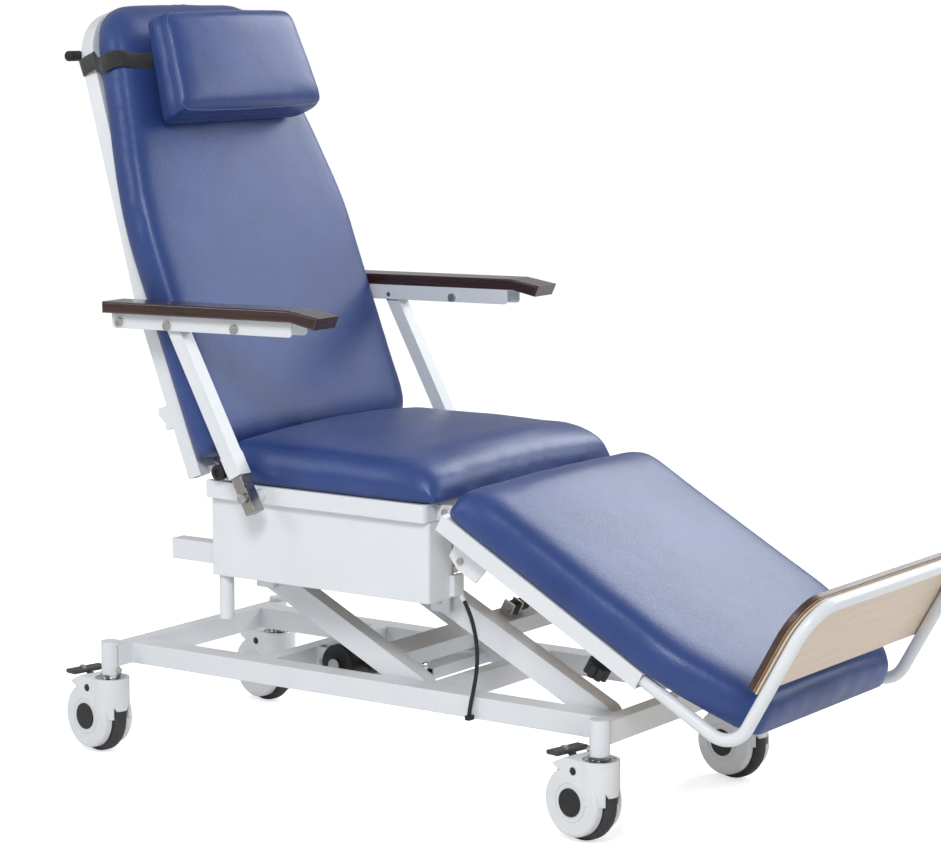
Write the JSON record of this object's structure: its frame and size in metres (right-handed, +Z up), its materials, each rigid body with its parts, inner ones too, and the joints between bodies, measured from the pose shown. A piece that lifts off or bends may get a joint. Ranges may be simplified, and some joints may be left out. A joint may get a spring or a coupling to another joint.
{
  "type": "phlebotomy chair",
  "caption": "Wheeled blood-draw chair with a reclining back, raising leg rest, parallel lift arms, wooden armrests, a pillow and a footrest board",
  "frame": {"origin": "on the floor, at the centre of the rectangle of the caster posts", "axes": "+Z up, +Y from the footrest towards the back, +X to the sitter's left"},
  "size_m": [0.666, 1.4458, 1.2541],
  "materials": {
    "white_paint": "white powder coat, semi-gloss",
    "zinc": "zinc-plated",
    "chrome": "bright plated",
    "bright_steel": "brushed stainless",
    "grey_plastic": "satin grey-black",
    "shell_plastic": "satin pale grey",
    "black_plastic": "matt black",
    "black_rubber": "matt black",
    "tyre": "dark grey rubber",
    "vinyl": "navy vinyl with a fine grain and a soft sheen",
    "plywood": "plain plywood",
    "dark_wood": "dark brown stained and varnished",
    "cream_board": "cream wood-grain laminate",
    "strap": "black webbing",
    "cord": "black sheath"
  },
  "bodies": {
    "base": {"base_frame": "white_paint", "base_mid_rails": "white_paint", "caster_posts": "white_paint", "bearing_cups": "zinc", "base_bolts": "zinc", "cord_boot": "black_rubber"},
    "rear_arms": {"rear_lift_arms": "white_paint"},
    "front_arms": {"front_lift_arms": "white_paint", "lift_clevis": "zinc", "clevis_bushes": "black_rubber"},
    "motor": {"lift_motor": "black_plastic"},
    "ram": {"ram_rod": "bright_steel"},
    "seat": {"chassis_frame": "white_paint", "seat_skirt": "white_paint", "seat_rim": "white_paint", "seat_board": "plywood", "seat_cushion": "vinyl", "seat_tube_caps": "black_plastic", "control_box": "white_paint", "seat_bolts": "zinc", "cord": "cord"},
    "back": {"back_frame": "white_paint", "back_board": "plywood", "back_cushion": "vinyl", "push_grips": "black_rubber", "head_strap": "strap"},
    "head": {"head_cushion": "vinyl"},
    "struts": {"arm_struts": "white_paint", "arm_knuckles": "bright_steel"},
    "arms": {"arm_channel_right": "white_paint", "arm_channel_left": "white_paint", "arm_pad_right": "dark_wood", "arm_pad_left": "dark_wood", "arm_bolts": "zinc"},
    "leg": {"leg_frame": "white_paint", "leg_board": "plywood", "leg_cushion": "vinyl", "leg_lever_bar": "zinc"},
    "knob_right": {"star_knob_right": "black_plastic"},
    "knob_left": {"star_knob_left": "black_plastic"},
    "foot": {"foot_tube": "white_paint", "foot_board": "cream_board"},
    "swivel_rear_right": {"caster_shell_rear_right": "shell_plastic", "caster_axle_rear_right": "black_plastic"},
    "wheel_rear_right": {"caster_wheel_rear_right": "tyre"},
    "pedal_rear_right": {"brake_pedal_rear_right": "grey_plastic"},
    "swivel_front_right": {"caster_shell_front_right": "shell_plastic", "caster_axle_front_right": "black_plastic"},
    "wheel_front_right": {"caster_wheel_front_right": "tyre"},
    "pedal_front_right": {"brake_pedal_front_right": "grey_plastic"},
    "swivel_rear_left": {"caster_shell_rear_left": "shell_plastic", "caster_axle_rear_left": "black_plastic"},
    "wheel_rear_left": {"caster_wheel_rear_left": "tyre"},
    "pedal_rear_left": {"brake_pedal_rear_left": "grey_plastic"},
    "swivel_front_left": {"caster_shell_front_left": "shell_plastic", "caster_axle_front_left": "black_plastic"},
    "wheel_front_left": {"caster_wheel_front_left": "tyre"},
    "pedal_front_left": {"brake_pedal_front_left": "grey_plastic"}
  },
  "joints": [
    {"name": "swivel_rear_right", "type": "hinge", "parent": "base", "child": "swivel_rear_right", "pos_m": [-0.226, 0.485, 0.1], "axis": [0, 0, 1], "continuous": true},
    {"name": "wheel_rear_right", "type": "hinge", "parent": "swivel_rear_right", "child": "wheel_rear_right", "pos_m": [-0.2197, 0.51739, 0.0625], "axis": [0.9816, -0.1908, 0], "continuous": true},
    {"name": "pedal_rear_right", "type": "hinge", "parent": "swivel_rear_right", "child": "pedal_rear_right", "pos_m": [-0.2157, 0.53801, 0.125], "axis": [-0.9816, 0.1908, 0], "range_deg": [0, 8]},
    {"name": "swivel_front_right", "type": "hinge", "parent": "base", "child": "swivel_front_right", "pos_m": [-0.226, -0.485, 0.1], "axis": [0, 0, 1], "continuous": true},
    {"name": "wheel_front_right", "type": "hinge", "parent": "swivel_front_right", "child": "wheel_front_right", "pos_m": [-0.2197, -0.45261, 0.0625], "axis": [0.9816, -0.1908, 0], "continuous": true},
    {"name": "pedal_front_right", "type": "hinge", "parent": "swivel_front_right", "child": "pedal_front_right", "pos_m": [-0.2157, -0.43199, 0.125], "axis": [-0.9816, 0.1908, 0], "range_deg": [0, 8]},
    {"name": "swivel_rear_left", "type": "hinge", "parent": "base", "child": "swivel_rear_left", "pos_m": [0.226, 0.485, 0.1], "axis": [0, 0, 1], "continuous": true},
    {"name": "wheel_rear_left", "type": "hinge", "parent": "swivel_rear_left", "child": "wheel_rear_left", "pos_m": [0.2323, 0.51739, 0.0625], "axis": [0.9816, -0.1908, 0], "continuous": true},
    {"name": "pedal_rear_left", "type": "hinge", "parent": "swivel_rear_left", "child": "pedal_rear_left", "pos_m": [0.2363, 0.53801, 0.125], "axis": [-0.9816, 0.1908, 0], "range_deg": [0, 8]},
    {"name": "swivel_front_left", "type": "hinge", "parent": "base", "child": "swivel_front_left", "pos_m": [0.226, -0.485, 0.1], "axis": [0, 0, 1], "continuous": true},
    {"name": "wheel_front_left", "type": "hinge", "parent": "swivel_front_left", "child": "wheel_front_left", "pos_m": [0.2323, -0.45261, 0.0625], "axis": [0.9816, -0.1908, 0], "continuous": true},
    {"name": "pedal_front_left", "type": "hinge", "parent": "swivel_front_left", "child": "pedal_front_left", "pos_m": [0.2363, -0.43199, 0.125], "axis": [-0.9816, 0.1908, 0], "range_deg": [0, 8]},
    {"name": "lift", "type": "hinge", "parent": "base", "child": "rear_arms", "pos_m": [0, -0.088, 0.174], "axis": [1, 0, 0], "range_deg": [0, 40]},
    {"name": "front_arm_pivot", "type": "hinge", "parent": "base", "child": "front_arms", "pos_m": [0, -0.438, 0.174], "axis": [1, 0, 0], "range_deg": [0, 40.1]},
    {"name": "seat_level", "type": "hinge", "parent": "rear_arms", "child": "seat", "pos_m": [0, 0.20707, 0.32176], "axis": [1, 0, 0], "range_deg": [-40.1, 0.1]},
    {"name": "motor_tilt", "type": "hinge", "parent": "base", "child": "motor", "pos_m": [-0.03, 0.178, 0.162], "axis": [1, 0, 0], "range_deg": [-14.38, 0.1]},
    {"name": "ram_slide", "type": "slide", "parent": "motor", "child": "ram", "axis": [0, -0.9979, 0.0644], "range_m": [-0.0005, 0.0246]},
    {"name": "recline", "type": "hinge", "parent": "seat", "child": "back", "pos_m": [0, 0.23, 0.479], "axis": [-1, 0, 0], "range_deg": [0, 48]},
    {"name": "strut_swing", "type": "hinge", "parent": "seat", "child": "struts", "pos_m": [0, 0.13, 0.479], "axis": [-1, 0, 0], "range_deg": [-0.1, 48.1]},
    {"name": "arm_level", "type": "hinge", "parent": "back", "child": "arms", "pos_m": [0, 0.374, 0.744], "axis": [1, 0, 0], "range_deg": [-0.1, 48.1]},
    {"name": "head_height", "type": "slide", "parent": "back", "child": "head", "axis": [0, 0.36, 0.933], "range_m": [-0.04, 0.02]},
    {"name": "leg_raise", "type": "hinge", "parent": "seat", "child": "leg", "pos_m": [0, -0.205, 0.478], "axis": [-1, 0, 0], "range_deg": [-12, 29]},
    {"name": "foot_reach", "type": "slide", "parent": "leg", "child": "foot", "axis": [0, -0.8721, -0.4894], "range_m": [-0.01, 0.1]},
    {"name": "knob_turn_right", "type": "hinge", "parent": "leg", "child": "knob_right", "pos_m": [-0.246, -0.51197, 0.30574], "axis": [0, -0.4894, 0.8721], "continuous": true},
    {"name": "knob_turn_left", "type": "hinge", "parent": "leg", "child": "knob_left", "pos_m": [0.246, -0.51197, 0.30574], "axis": [0, -0.4894, 0.8721], "continuous": true}
  ],
  "couplings": [
    {"joint": "front_arm_pivot", "follows": "lift", "ratio": 1},
    {"joint": "seat_level", "follows": "lift", "ratio": -1},
    {"joint": "motor_tilt", "follows": "lift", "ratio": -0.357},
    {"joint": "ram_slide", "follows": "lift", "m_per_rad": 0.0345},
    {"joint": "strut_swing", "follows": "recline", "ratio": 1},
    {"joint": "arm_level", "follows": "recline", "ratio": 1}
  ]
}
